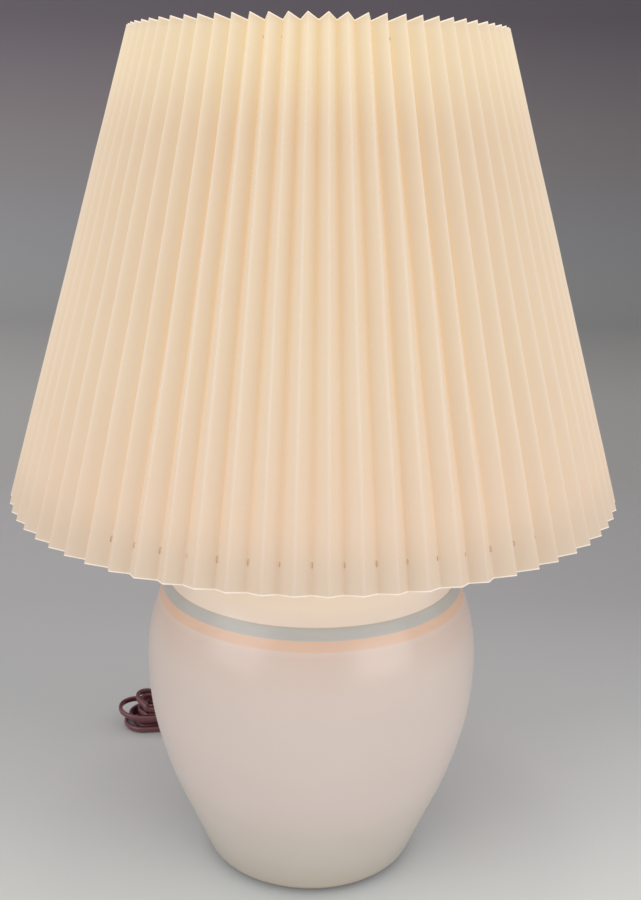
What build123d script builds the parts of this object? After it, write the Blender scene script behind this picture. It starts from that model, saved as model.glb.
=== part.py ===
"""Ginger jar table lamp with an accordion-pleated shade.

The frame is millimetres, +Z up. The origin is the centre of the felt pad's underside,
on the surface that the lamp stands on, and +Y is the back, where the cord leaves.
"""

from build123d import *
import math
import os

# ---------------------------------------------------------------- driving dimensions
# jar
felt_thickness = 1.6
felt_radius = 66.0
foot_radius = 70.0
foot_corner_radius = 13.0
foot_corner_sweep = 68.0
belly_radius = 124.5
belly_height = 163.4
shoulder_rise = 127.0
jar_wall = 6.0
neck_radius = 44.0
neck_height = 8.0
mouth_radius = 34.0
recess_radius = 58.0
recess_depth = 24.4
jar_floor = 7.0
cord_hole_height = 15.0

# pipe and what it clamps
pipe_radius = 4.95
pipe_bore_radius = 3.4
pipe_clearance = 0.25
thread_clearance = 0.05
cushion_radius = 19.0
cushion_thickness = 2.0
washer_radius = 16.0
washer_thickness = 1.6
nut_across_flats = 17.5
nut_thickness = 5.0
pipe_tail = 2.0
gasket_thickness = 1.0
cap_radius = 50.0
cap_sheet = 1.2
cap_dome_height = 9.0
check_ring_radius = 12.5
check_ring_height = 3.0
neck_spool_height = 32.0
neck_spool_radius = 10.0
neck_waist_radius = 7.2

# saddle and harp
saddle_sheet = 1.5
saddle_width = 9.0
saddle_hub_radius = 11.0
saddle_rise = 7.0
saddle_half_span = 42.0
tab_height = 11.0
tab_thickness = 1.4
tab_width = 2.8
harp_wire_radius = 1.5
harp_foot_x = 38.1
harp_half_width = 57.0
harp_top_radius = 46.0
ferrule_bore_radius = 3.2
ferrule_wall = 0.8
ferrule_height = 12.0
crimp_radius = 8.0
crimp_cover = 1.8
stud_disc_radius = 7.0
stud_disc_thickness = 1.5
stud_radius = 3.1
stud_length = 11.5
rivet_radius = 2.0
rivet_length = 1.3
running_gap = 0.05
moving_gap = 0.3

# lamp socket and switch
socket_radius = 17.0
socket_sheet = 0.6
socket_cap_height = 19.0
socket_hub_radius = 7.0
socket_hub_height = 8.0
socket_shell_height = 42.0
insulator_sheet = 0.7
socket_body_height = 17.0
screw_shell_radius = 13.5
screw_shell_sheet = 0.4
switch_height = 8.0
stem_radius = 1.9
stem_length = 24.0
knob_radius = 5.6
knob_length = 13.0
knob_flutes = 10

# bulb
bulb_base_radius = 13.05
bulb_base_height = 24.0
bulb_tip_height = 3.0
bulb_globe_radius = 30.0
bulb_overall = 108.0
glass_wall = 0.8

# shade
pleat_count = 70
pleat_panel_width = 13.0
shade_cloth = 0.7
shade_bottom_radius = 218.5
shade_top_radius = 126.7
shade_bottom_height = 298.0
shade_rise = 315.5
ring_wire_radius = 1.6
bottom_ring_inset = 14.0
ring_gap = 0.3
arm_count = 3
arm_wire_radius = 1.5
arm_knee_radius = 50.0
hub_radius = 12.0
hub_thickness = 1.2
top_ring_rise = 6.0
shade_rim_cover = 13.8

# finial
finial_insert_wall = 1.4
finial_insert_height = 11.0
finial_radius = 8.0
finial_height = 26.0

# cord
cord_diameter = 5.0
cord_length = 1800.0
grommet_proud = 1.5
grommet_flange_radius = 6.8
grommet_neck_radius = 4.4
hank_layers = 4
hank_runs = 16
hank_outer_radius = 20.5
hank_step = 6.0
hank_layer_step = 5.5
hank_waist_draw = 4.0
hank_left_end = -176.0
hank_centre_y = 175.0
tie_thickness = 0.8
tie_width = 6.0

# plug
plug_length = 30.0
plug_width = 24.0
plug_thickness = 14.0
plug_neck_length = 22.0
blade_length = 17.5
blade_width = 6.3
blade_thickness = 1.5
blade_spacing = 12.7

# ---------------------------------------------------------------- heights that follow
jar_base = felt_thickness
belly_z = jar_base + belly_height
recess_top = jar_base + recess_depth
neck_angle = math.degrees(math.acos(neck_radius / belly_radius))
neck_z = belly_z + shoulder_rise * math.sin(math.radians(neck_angle))
mouth_z = neck_z + neck_height
cap_seat_z = mouth_z + gasket_thickness
cap_top_z = cap_seat_z + cap_dome_height
spool_z = cap_top_z + check_ring_height
saddle_z = spool_z + neck_spool_height
landing_z = saddle_z + saddle_rise + saddle_sheet
socket_z = saddle_z + saddle_sheet
shell_z = socket_z + socket_cap_height - 4.0
body_z = socket_z + socket_cap_height
bulb_tip_z = body_z + socket_body_height - 2.0
switch_z = body_z + switch_height
top_ring_z = shade_bottom_height + shade_rise - shade_rim_cover
disc_top_z = top_ring_z - top_ring_rise - hub_thickness / 2
crimp_top_z = disc_top_z - stud_disc_thickness
wire_top_z = crimp_top_z - harp_wire_radius - crimp_cover
hub_top_z = disc_top_z + hub_thickness
shade_lean = (shade_bottom_radius - shade_top_radius) / shade_rise
pipe_hole_radius = pipe_radius + pipe_clearance
thread_radius = pipe_radius + thread_clearance
cord_radius = cord_diameter / 2


# ---------------------------------------------------------------- shared shapes
def turned(*points):
    """A lathe-turned solid from a closed outline of (radius, height) points."""
    return revolve(make_face(Plane.XZ * Polyline(*points, close=True)), Axis.Z)


def tube(outer, inner, low, high):
    """A straight ring or sleeve on the lamp's axis."""
    return turned((inner, low), (outer, low), (outer, high), (inner, high))


def wire_rod(path, radius):
    """A round rod along a path, square to it at the start."""
    start = Plane(origin=path @ 0, z_dir=path % 0)
    return sweep(start * Circle(radius), path=path)


def turn_radii(points):
    """The largest natural arc at each corner of a route."""
    corners = [Vector(*p) for p in points]
    radii = []
    for before, here, after in zip(corners, corners[1:], corners[2:]):
        half_turn = math.radians((here - before).get_angle(after - here)) / 2
        shorter = min((here - before).length, (after - here).length)
        radii.append(0.45 * shorter / math.tan(half_turn))
    return radii


# ---------------------------------------------------------------- jar
def foot_corner(grow=0.0):
    """The rounded corner from the flat foot to the side, moved outwards by grow."""
    start = (foot_radius, jar_base - grow)
    return JernArc(start, (1, 0), foot_corner_radius + grow, foot_corner_sweep)


def side_curve(start, start_tangent, inset):
    """The side from the foot up to the belly, as a share of the belly's size."""
    shares = ((0.743, 0.21), (0.858, 0.42), (0.943, 0.63))
    middle = [
        (belly_radius * r - inset, jar_base + belly_height * z) for r, z in shares
    ]
    belly = (belly_radius - inset, belly_z)
    return Spline(start, *middle, belly, tangents=(start_tangent, (0, 1)))


def shoulder_curve(radius, inset):
    """The round shoulder from the belly up to a neck of the given radius."""
    across = belly_radius - inset
    high = shoulder_rise - inset
    end = math.acos(radius / across)
    turns = [end * step / 6 for step in range(7)]
    points = [(across * math.cos(t), belly_z + high * math.sin(t)) for t in turns]
    leaving = (-across * math.sin(end), high * math.cos(end))
    return Spline(*points, tangents=((0, 1), leaving))


def jar_outside(grow=0.0):
    """The jar as a filled form, its skin moved outwards by grow."""
    corner = foot_corner(grow)
    side = side_curve(corner @ 1, corner % 1, -grow)
    shoulder = shoulder_curve(neck_radius + grow, -grow)
    top = mouth_z + grow
    rim = Polyline(shoulder @ 1, (neck_radius + grow, top), (0, top))
    axis = Polyline((0, top), (0, jar_base - grow), corner @ 0)
    outline = corner + side + shoulder + rim + axis
    return revolve(make_face(Plane.XZ * outline), Axis.Z)


def jar_hollow():
    """The space inside the jar, from its floor to its mouth."""
    floor_z = recess_top + jar_floor
    floor_radius = belly_radius * 0.66
    start = (floor_radius, floor_z)
    middle = (belly_radius * 0.858 - jar_wall, jar_base + belly_height * 0.42)
    belly = (belly_radius - jar_wall, belly_z)
    side = Spline(start, middle, belly, tangents=((0.8, 1), (0, 1)))
    shoulder = shoulder_curve(mouth_radius, jar_wall)
    high = mouth_z + jar_wall
    mouth = Polyline(shoulder @ 1, (mouth_radius, high), (0, high))
    axis = Polyline((0, high), (0, floor_z), start)
    return revolve(make_face(Plane.XZ * (side + shoulder + mouth + axis)), Axis.Z)


def cord_hole(radius):
    """A round bar along +Y through the foot, where the cord leaves."""
    low = recess_radius - 8.0
    bar = Cylinder(radius, 60.0, align=(Align.CENTER, Align.CENTER, Align.MIN))
    return Pos(0, low, cord_hole_height) * Rot(-90, 0, 0) * bar


def make_jar():
    recess = Pos(0, 0, jar_base) * Cylinder(
        recess_radius, recess_depth, align=(Align.CENTER, Align.CENTER, Align.MIN)
    )
    recess = fillet(recess.edges().sort_by(Axis.Z)[-1], 6.0)
    pipe_hole = tube(pipe_hole_radius, 0, jar_base, belly_z)
    jar = jar_outside() - jar_hollow() - recess - pipe_hole
    jar -= cord_hole(grommet_neck_radius + 0.1)
    mouth_edges = jar.edges().filter_by(GeomType.CIRCLE).group_by(Axis.Z)[-1]
    return fillet(mouth_edges, 2.0)


def make_felt_pad():
    return tube(felt_radius, 0, 0, felt_thickness)


def make_grommet():
    """A rubber bush whose flange follows the jar's skin."""
    flange = (jar_outside(grommet_proud) - jar_outside()) & cord_hole(
        grommet_flange_radius
    )
    inner_end = Pos(0, 0, jar_base) * Cylinder(
        recess_radius, recess_depth, align=(Align.CENTER, Align.CENTER, Align.MIN)
    )
    sleeve = (cord_hole(grommet_neck_radius) & jar_outside()) - inner_end
    return (flange + sleeve) - cord_hole(cord_radius + 0.2)


# ---------------------------------------------------------------- pipe and brass stack
def base_stack():
    """Heights under the jar floor: cushion, washer, nut, then the pipe's end."""
    cushion_low = recess_top - cushion_thickness
    washer_low = cushion_low - washer_thickness
    nut_low = washer_low - nut_thickness
    return cushion_low, washer_low, nut_low, nut_low - pipe_tail


def make_cushion_washer():
    low = base_stack()[0]
    return tube(cushion_radius, pipe_hole_radius, low, recess_top)


def make_base_washer():
    cushion_low, washer_low, _, _ = base_stack()
    return tube(washer_radius, pipe_hole_radius, washer_low, cushion_low)


def make_base_nut():
    _, washer_low, nut_low, _ = base_stack()
    hexagon = RegularPolygon(nut_across_flats / 2, 6, major_radius=False)
    blank = Pos(0, 0, nut_low) * extrude(hexagon, amount=nut_thickness)
    corner = nut_across_flats / math.sqrt(3)
    chamfer_low = nut_low + 1.0
    cone = turned(
        (0, nut_low), (corner - 1.6, nut_low), (corner, chamfer_low),
        (corner, washer_low), (0, washer_low),
    )
    return (blank & cone) - tube(thread_radius, 0, nut_low, washer_low)


def make_pipe():
    low = base_stack()[3]
    return tube(pipe_radius, pipe_bore_radius, low, socket_z + socket_hub_height)


def make_gasket():
    return tube(neck_radius - 1.5, mouth_radius + 1.5, mouth_z, cap_seat_z)


def make_vase_cap():
    """Spun brass: a flat seat, a stepped crown and a turned-down skirt."""
    seat = cap_seat_z
    crown = cap_top_z
    hub = check_ring_radius + 4.0
    skirt_low = seat - 7.0
    outer = Polyline((thread_radius, crown), (hub, crown))
    step = JernArc((hub, crown), (1, 0), 4.0, -90)
    dip = Polyline(step @ 1, (hub + 4.0, seat + 3.4))
    sweep_out = JernArc(dip @ 1, (0, -1), 2.2, 90)
    shelf = Polyline(sweep_out @ 1, (cap_radius - 4.0, seat + cap_sheet))
    roll = JernArc(shelf @ 1, (1, 0), 4.0, -90)
    skirt = Polyline(roll @ 1, (cap_radius, skirt_low), (cap_radius - cap_sheet, skirt_low))
    inside = Polyline(
        skirt @ 1,
        (cap_radius - cap_sheet, seat - 2.5),
        (cap_radius - cap_sheet - 2.5, seat),
        (hub + 4.0 - cap_sheet, seat),
        (hub + 4.0 - cap_sheet, crown - 4.0),
        (hub, crown - cap_sheet),
        (thread_radius, crown - cap_sheet),
        (thread_radius, crown),
    )
    outline = outer + step + dip + sweep_out + shelf + roll + skirt + inside
    return revolve(make_face(Plane.XZ * outline), Axis.Z)


def make_check_ring():
    ring = tube(check_ring_radius, thread_radius, cap_top_z, spool_z)
    rim = ring.edges().filter_by(GeomType.CIRCLE).sort_by(SortBy.RADIUS)[-2:]
    return fillet(rim, 1.0)


def make_neck_spool():
    """A turned brass spacer: beads at both ends and a waist between them."""
    low = spool_z
    high = saddle_z
    bead = 3.0
    waist = neck_waist_radius
    end = neck_spool_radius
    bottom_bead = ThreePointArc((end - 1, low), (end, low + bead / 2), (end - 1, low + bead))
    top_bead = ThreePointArc((end - 1, high - bead), (end, high - bead / 2), (end - 1, high))
    lower = Line(bottom_bead @ 1, (waist + 1.2, low + bead))
    middle = (low + high) / 2
    flute = ThreePointArc(lower @ 1, (waist, middle), (waist + 1.2, high - bead))
    upper = Line(flute @ 1, top_bead @ 0)
    bore = Polyline(top_bead @ 1, (thread_radius, high), (thread_radius, low), bottom_bead @ 0)
    outline = bottom_bead + lower + flute + upper + top_bead + bore
    return revolve(make_face(Plane.XZ * outline), Axis.Z)


# ---------------------------------------------------------------- saddle and harp
def make_saddle():
    """A bent brass strip: hub under the socket, two arms, and a tab at each end."""
    sheet = saddle_sheet
    rise = saddle_rise
    bend_in = saddle_hub_radius + 3.0
    bend_out = harp_foot_x - ferrule_bore_radius - ferrule_wall - 3.5
    span = saddle_half_span
    half = [
        (0, 0), (bend_in, 0), (bend_out, rise), (span, rise),
        (span, rise + sheet), (bend_out - 0.3, rise + sheet), (bend_in - 0.3, sheet), (0, sheet),
    ]
    arms = []
    for side in (1, -1):
        outline = Polyline(*[(side * x, saddle_z + z) for x, z in half], close=True)
        plate = make_face(Plane.XZ * outline)
        arms.append(extrude(plate, amount=saddle_width / 2, both=True))
    hub = tube(saddle_hub_radius, 0, saddle_z, saddle_z + sheet)
    saddle = arms[0] + arms[1] + hub
    tab_x = harp_foot_x - harp_wire_radius - moving_gap - tab_thickness / 2
    for side in (1, -1):
        tab = Box(
            tab_thickness, tab_width, tab_height,
            align=(Align.CENTER, Align.CENTER, Align.MIN),
        )
        saddle += Pos(side * tab_x, 0, landing_z) * tab
    return saddle - tube(thread_radius, 0, saddle_z, saddle_z + sheet)


def make_ferrule(side):
    centre = harp_foot_x - 0.9
    outer = ferrule_bore_radius + ferrule_wall
    sleeve = tube(outer, ferrule_bore_radius, landing_z, landing_z + ferrule_height)
    return Pos(side * centre, 0, 0) * sleeve


def harp_path():
    """The harp's centre line: feet, shoulders, and a flat top with round corners."""
    half = [
        (harp_foot_x, landing_z),
        (harp_foot_x, landing_z + 40.0),
        (harp_half_width, landing_z + 80.0),
        (harp_half_width, wire_top_z),
    ]
    right = [(x, 0, z) for x, z in half]
    left = [(-x, 0, z) for x, z in reversed(half)]
    radii = [25.0, 30.0, harp_top_radius]
    return FilletPolyline(*right, *left, radius=radii + radii[::-1])


def make_harp_wire():
    return wire_rod(harp_path(), harp_wire_radius)


def make_harp_crimp():
    """The pressed top plate that is crimped round the wire and carries the stud."""
    low = wire_top_z - harp_wire_radius - crimp_cover
    plate = tube(crimp_radius, 0, low, crimp_top_z)
    rims = plate.edges().filter_by(GeomType.CIRCLE)
    plate = fillet(rims, 0.8)
    channel = Pos(0, 0, wire_top_z) * Rot(0, 90, 0) * Cylinder(
        harp_wire_radius, 4 * crimp_radius
    )
    rivet_hole = tube(
        rivet_radius + running_gap, 0, crimp_top_z - rivet_length - 0.1, crimp_top_z
    )
    return plate - channel - rivet_hole


def make_harp_stud():
    """The swivelling stud: rivet end, seat disc and threaded end."""
    top = disc_top_z + stud_length
    return turned(
        (0, crimp_top_z - rivet_length), (rivet_radius, crimp_top_z - rivet_length),
        (rivet_radius, crimp_top_z), (stud_disc_radius, crimp_top_z),
        (stud_disc_radius, disc_top_z), (stud_radius, disc_top_z),
        (stud_radius, top - 0.8), (stud_radius - 0.8, top), (0, top),
    )


# ---------------------------------------------------------------- lamp socket
def make_socket_cap():
    """The brass cup at the socket's foot, threaded to the pipe."""
    sheet = socket_sheet
    hub_top = socket_z + socket_hub_height
    rim_z = socket_z + socket_cap_height
    rim = socket_radius + sheet + 0.1
    cap = turned(
        (thread_radius, socket_z), (socket_hub_radius, socket_z),
        (socket_hub_radius, socket_z + 4.0), (rim - 3.0, hub_top),
        (rim, hub_top + 4.0), (rim, rim_z), (rim - sheet, rim_z),
        (rim - sheet, hub_top + 4.3), (rim - 3.4, hub_top + 0.9),
        (socket_hub_radius, hub_top - 1.0), (socket_hub_radius, hub_top),
        (thread_radius, hub_top),
    )
    return cap - set_screw_hole()


def set_screw_bar(radius, inner, outer):
    bar = Cylinder(radius, outer - inner, align=(Align.CENTER, Align.CENTER, Align.MIN))
    return Pos(0, inner, socket_z + 2.0) * Rot(-90, 0, 0) * bar


def set_screw_hole():
    return set_screw_bar(1.1, thread_radius - 0.5, socket_hub_radius + 1.0)


def make_set_screw():
    shank = set_screw_bar(1.05, thread_radius + 0.02, socket_hub_radius + 0.5)
    head = set_screw_bar(1.7, socket_hub_radius + 0.05, socket_hub_radius + 2.0)
    slot = Pos(0, socket_hub_radius + 2.0, socket_z + 2.0) * Box(4.0, 1.2, 0.6)
    return shank + head - slot


def switch_hole(radius):
    bar = Cylinder(radius, 30.0, align=(Align.CENTER, Align.CENTER, Align.MIN))
    return Pos(0, 0, switch_z) * Rot(90, 0, 0) * bar


def make_socket_shell():
    """The drawn brass sleeve with a beaded mouth and a slot for the switch."""
    high = shell_z + socket_shell_height
    inner = socket_radius - socket_sheet
    sleeve = tube(socket_radius, inner, shell_z, high)
    bead_z = high - 3.0
    bead = revolve(Plane.XZ * Pos(socket_radius, bead_z) * Circle(0.7), Axis.Z)
    sleeve = sleeve + (bead - tube(inner, 0, bead_z - 2, bead_z + 2))
    return sleeve - switch_hole(stem_radius + moving_gap)


def make_insulator():
    outer = socket_radius - socket_sheet - 0.1
    sleeve = tube(outer, outer - insulator_sheet, shell_z, shell_z + socket_shell_height + 1.5)
    return sleeve - switch_hole(stem_radius + moving_gap)


def make_socket_body():
    """The moulded interior that holds the switch, with a well for the contact."""
    outer = screw_shell_radius + screw_shell_sheet
    low = body_z - 3.0
    high = body_z + socket_body_height - 5.0
    core = tube(outer, 0, low, high)
    well = tube(6.0, 0, high - 3.0, high)
    flats = Box(40, 40, 40)
    core -= Pos(0, outer + 20 - 2.0, low) * flats
    core -= well
    stem_bore = switch_hole(stem_radius + running_gap)
    back_stop = Pos(0, 0, switch_z) * Box(60, 6.0, 20)
    return core - (stem_bore - back_stop)


def make_screw_shell():
    low = body_z + socket_body_height - 5.0
    outer = screw_shell_radius + screw_shell_sheet
    high = low + 22.0
    wall = tube(outer, screw_shell_radius, low, high)
    floor = tube(outer, 8.0, low, low + screw_shell_sheet)
    return wall + floor


def make_centre_contact():
    """The bent brass tongue that the bulb's tip presses on."""
    low = body_z + socket_body_height - 8.0
    tip = bulb_tip_z - 0.1
    tongue = Polyline(
        (-5.0, low), (-1.5, tip - 0.5), (2.5, tip - 0.5), (2.5, tip), (-1.8, tip),
        (-5.0, low + 0.9), close=True,
    )
    return extrude(make_face(Plane.XZ * tongue), amount=2.0, both=True)


def make_terminal_screws():
    """Two binding-head screws on the flat at the back of the moulded body."""
    flat_y = screw_shell_radius + screw_shell_sheet - 2.0
    screws = []
    for x in (-5.0, 5.0):
        head = Cylinder(2.2, 1.4, align=(Align.CENTER, Align.CENTER, Align.MIN))
        head -= Pos(0, 0, 1.4) * Box(5.0, 0.6, 1.0)
        screws.append(Pos(x, flat_y, switch_z - 5.0) * Rot(-90, 0, 0) * head)
    return Compound(screws)


def make_switch_stem():
    inner = 3.1
    bar = Cylinder(stem_radius, stem_length, align=(Align.CENTER, Align.CENTER, Align.MIN))
    return Pos(0, -inner, switch_z) * Rot(90, 0, 0) * bar


def make_switch_knob():
    """A small fluted turn knob pushed on the stem."""
    profile = Circle(knob_radius)
    for index in range(knob_flutes):
        profile -= Rot(0, 0, 360 / knob_flutes * index) * Pos(knob_radius + 0.5, 0) * Circle(1.1)
    blank = turned(
        (0, 0), (knob_radius, 0), (knob_radius, knob_length - 0.8),
        (knob_radius - 0.8, knob_length), (0, knob_length),
    )
    knob = extrude(profile, amount=knob_length) & blank
    socket_depth = 3.1 + stem_length - knob_start()
    knob -= Cylinder(
        stem_radius + 0.02, socket_depth, align=(Align.CENTER, Align.CENTER, Align.MIN)
    )
    return Pos(0, -knob_start(), switch_z) * Rot(90, 0, 0) * knob


def knob_start():
    """How far from the axis the knob begins, just clear of the shell."""
    return socket_radius + 2.2


# ---------------------------------------------------------------- bulb
def bulb_outline(inset):
    """The pear-shaped envelope as curves, moved inwards by inset."""
    low = bulb_tip_z + bulb_base_height + bulb_tip_height - 4.0
    top = bulb_tip_z + bulb_overall - inset
    globe = bulb_globe_radius - inset
    globe_z = top - globe
    throat = bulb_base_radius - 0.9 - inset
    neck = Spline(
        (throat, low), (throat + 4.0, low + 20.0), (globe, globe_z),
        tangents=((0, 1), (0, 1)),
    )
    dome = CenterArc((0, globe_z), globe, 0, 90)
    return neck, dome


def make_bulb_glass():
    outer_neck, outer_dome = bulb_outline(0)
    inner_neck, inner_dome = bulb_outline(glass_wall)
    rim = Line(inner_neck @ 0, outer_neck @ 0)
    crown = Line(outer_dome @ 1, inner_dome @ 1)
    outline = outer_neck + outer_dome + crown + inner_dome + inner_neck + rim
    return revolve(make_face(Plane.XZ * outline), Axis.Z)


def make_bulb_base():
    """The rolled screw base: a thin cup that the glass is cemented in."""
    low = bulb_tip_z + bulb_tip_height
    high = low + bulb_base_height
    radius = bulb_base_radius
    return turned(
        (radius - 4.0, low), (radius, low + 3.0), (radius, high),
        (radius - 0.5, high), (radius - 0.5, low + 3.2), (radius - 4.3, low + 0.5),
    )


def make_bulb_base_insulator():
    low = bulb_tip_z + bulb_tip_height
    return turned(
        (5.2, low - 1.8), (bulb_base_radius - 4.4, low), (bulb_base_radius - 4.4, low + 2.0),
        (4.85, low + 2.0), (4.85, low - 1.8),
    )


def make_bulb_contact():
    low = bulb_tip_z
    button = ThreePointArc((0, low), (3.2, low + 0.5), (4.8, low + 1.6))
    rest = Polyline((4.8, low + 1.6), (4.8, low + bulb_tip_height), (0, low + bulb_tip_height), (0, low))
    return revolve(make_face(Plane.XZ * (button + rest)), Axis.Z)


# ---------------------------------------------------------------- shade
def pleat_half_pitch(radius):
    return math.pi * radius / pleat_count


def pleat_depth(radius):
    """Panels keep one width, so the folds are deeper where the shade is narrower."""
    return math.sqrt(pleat_panel_width**2 - pleat_half_pitch(radius) ** 2)


def pleat_edge(radius, height, skin):
    """A cut edge of the pleated cloth, square to the folds, skin under the outside."""
    depth = pleat_depth(radius)
    shift = skin * pleat_panel_width / pleat_half_pitch(radius)
    corners = []
    for fold in range(2 * pleat_count):
        angle = math.pi * fold / pleat_count
        inwards = shift + depth * (fold % 2)
        reach = radius - inwards
        corners.append(
            (reach * math.sin(angle), -reach * math.cos(angle), height - inwards * shade_lean)
        )
    return Wire.make_polygon(corners, close=True)


def make_shade_cloth():
    """One strip of stiffened cloth, folded zigzag and drawn in at the top."""
    top_z = shade_bottom_height + shade_rise
    edges = [
        pleat_edge(shade_top_radius, top_z, 0),
        pleat_edge(shade_bottom_radius, shade_bottom_height, 0),
        pleat_edge(shade_bottom_radius, shade_bottom_height, shade_cloth),
        pleat_edge(shade_top_radius, top_z, shade_cloth),
    ]
    return Solid(Shell.make_loft(edges + edges[:1], ruled=True))


def fold_inside_radius(height):
    """The radius of the inner folds' inside line at a height."""
    top_z = shade_bottom_height + shade_rise

    def inner_fold(radius, level):
        shift = shade_cloth * pleat_panel_width / pleat_half_pitch(radius)
        inwards = shift + pleat_depth(radius)
        return radius - inwards, level - inwards * shade_lean

    low_radius, low_z = inner_fold(shade_bottom_radius, shade_bottom_height)
    high_radius, high_z = inner_fold(shade_top_radius, top_z)
    share = (height - low_z) / (high_z - low_z)
    return low_radius + share * (high_radius - low_radius)


def ring_radius(height):
    """A ring's centre line, a small gap inside the inner folds."""
    slant = math.sqrt(1 + shade_lean**2)
    return fold_inside_radius(height) - (ring_wire_radius + ring_gap) * slant


def make_wire_ring(height):
    section = Plane.XZ * Pos(ring_radius(height), height) * Circle(ring_wire_radius)
    return revolve(section, Axis.Z)


def bottom_ring_z():
    return shade_bottom_height + bottom_ring_inset


def make_spider_hub():
    hole = stud_radius + moving_gap
    return tube(hub_radius, hole, disc_top_z, hub_top_z)


def make_spider_arms():
    """Three bent wires from the hub's edge up to the top ring."""
    low = disc_top_z + arm_wire_radius
    start = hub_radius + 0.05
    high = top_ring_z
    end = ring_radius(high) - ring_wire_radius - 0.05
    path = FilletPolyline(
        (start, 0, low), (arm_knee_radius, 0, low), (end - 16.0, 0, high), (end, 0, high),
        radius=20.0,
    )
    arm = wire_rod(path, arm_wire_radius)
    turns = [Rot(0, 0, 90 + 360 / arm_count * index) for index in range(arm_count)]
    return Compound([turn * arm for turn in turns])


# ---------------------------------------------------------------- finial
def make_finial_insert():
    bore = stud_radius + running_gap
    return tube(bore + finial_insert_wall, bore, hub_top_z, hub_top_z + finial_insert_height)


def make_finial_cap():
    """A turned brass knob: foot, cove, ball and tip, hollow over its insert."""
    z = hub_top_z
    r = finial_radius
    top = z + finial_height
    foot = Polyline((r - 0.6, z), (r, z + 0.6), (r, z + 2.4))
    cove = Spline((r, z + 2.4), (r - 1.8, z + 4.0), (r - 2.2, z + 6.4))
    ball = Spline((r - 2.2, z + 6.4), (r - 0.2, z + 9.6), (r - 0.6, z + 15.2), (r - 4.6, z + 19.4))
    tip = Spline((r - 4.6, z + 19.4), (2.2, z + 21.0), (2.8, z + 23.4), (1.6, z + 25.4), (0, top))
    hole = stud_radius + 2 * running_gap + finial_insert_wall
    depth = finial_insert_height + 2.0
    inside = Polyline((0, top), (0, z + depth), (hole, z + depth), (hole, z), (r - 0.6, z))
    return revolve(make_face(Plane.XZ * (foot + cove + ball + tip + inside)), Axis.Z)


# ---------------------------------------------------------------- cord
def biarc(start, start_dir, end, end_dir):
    """Two arcs, tangent to each other and to both directions."""
    chord = end - start
    both = start_dir + end_dir
    across = 1 - start_dir.dot(end_dir)
    along = chord.dot(both)
    if across < 1e-6:
        leg = chord.dot(chord) / (4 * chord.dot(start_dir))
    else:
        root = along * along + 2 * across * chord.dot(chord)
        leg = (math.sqrt(root) - along) / (2 * across)
    near = start + start_dir * leg
    far = end - end_dir * leg
    middle = (near + far) * 0.5
    first = TangentArc(start, middle, tangent=start_dir)
    second = TangentArc(middle, end, tangent=far - near)
    return [first, second]


def hank_run_offset(run):
    """Half the hank's width at a run: it spirals in and out at a steady rate."""
    period = hank_runs // 2
    return hank_outer_radius - hank_step * (2 - abs(run % period - period / 2) / 2)


def hank_run_layer(run, late):
    """A run's layer. Every fourth run climbs, from its start to its end."""
    climbing = run > 0 and run % 4 == 0
    return run // 4 - (1 if climbing and not late else 0)


def hank_nodes(half_length):
    """Points and directions along the hank, from the lead's end to the tail's."""
    centre_x = hank_left_end + half_length + hank_outer_radius + cord_radius
    bottom = cord_radius + tie_thickness + 0.1
    nodes = []
    for run in range(hank_runs):
        heading = -1 if run % 2 == 0 else 1
        side = heading
        wide = hank_run_offset(run)
        for share, draw in ((-1, 0.0), (0, hank_waist_draw), (1, 0.0)):
            layer = (hank_run_layer(run, False) + hank_run_layer(run, True)) / 2
            if share:
                layer = hank_run_layer(run, share > 0)
            point = Vector(
                centre_x + heading * share * half_length,
                hank_centre_y + side * (wide - draw),
                bottom + layer * hank_layer_step,
            )
            nodes.append((point, Vector(heading, 0, 0)))
    return nodes


def hank_path(half_length):
    """The hank's centre line, with one straight diameter at each end."""
    nodes = hank_nodes(half_length)
    first, first_dir = nodes[0]
    last, last_dir = nodes[-1]
    edges = [Line(first - first_dir * cord_diameter, first)]
    for (here, here_dir), (after, after_dir) in zip(nodes, nodes[1:]):
        edges += biarc(here, here_dir, after, after_dir)
    edges.append(Line(last, last + last_dir * cord_diameter))
    return Wire(edges)


def grommet_mouth():
    """How far back the cord's line leaves the grommet."""
    line = Axis((0, 0, cord_hole_height), (0, 1, 0))
    hits = jar_outside(grommet_proud).find_intersection_points(line)
    return max(point.Y for point, _ in hits)


def lead_points(hank, mouth):
    """From inside the grommet, down to the floor and round to the hank."""
    join = hank @ 0
    floor = cord_radius
    return [
        (0, mouth - 3.0, cord_hole_height),
        (0, mouth + 17.0, cord_hole_height),
        (-1.0, mouth + 37.0, floor + 2.5),
        (-8.0, mouth + 57.0, floor),
        (-26.0, join.Y, floor),
        (-50.0, join.Y + 2.5, floor),
        (-74.0, join.Y, join.Z),
        (join.X, join.Y, join.Z),
    ]


def tail_points(hank):
    """From the hank's top layer, down to the plug on the floor."""
    join = hank @ 1
    floor = plug_thickness / 2
    return [
        (join.X, join.Y, join.Z),
        (join.X + 18.0, join.Y, join.Z),
        (join.X + 38.0, join.Y + 1.0, (join.Z + floor) / 2),
        (join.X + 58.0, join.Y + 0.5, floor),
        (join.X + 76.0, join.Y - 4.0, floor),
    ]


def route(points):
    return FilletPolyline(*points, radius=turn_radii(points))


def free_length(half_length, mouth):
    hank = hank_path(half_length)
    lead = route(lead_points(hank, mouth))
    tail = route(tail_points(hank))
    return lead.length + hank.length + tail.length


def hank_half_length(mouth):
    """The straight half of the hank that uses up the whole cord."""
    half_length = hank_outer_radius
    for _ in range(4):
        spare = cord_length - free_length(half_length, mouth)
        half_length += spare / (2 * hank_runs)
    return half_length


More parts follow.
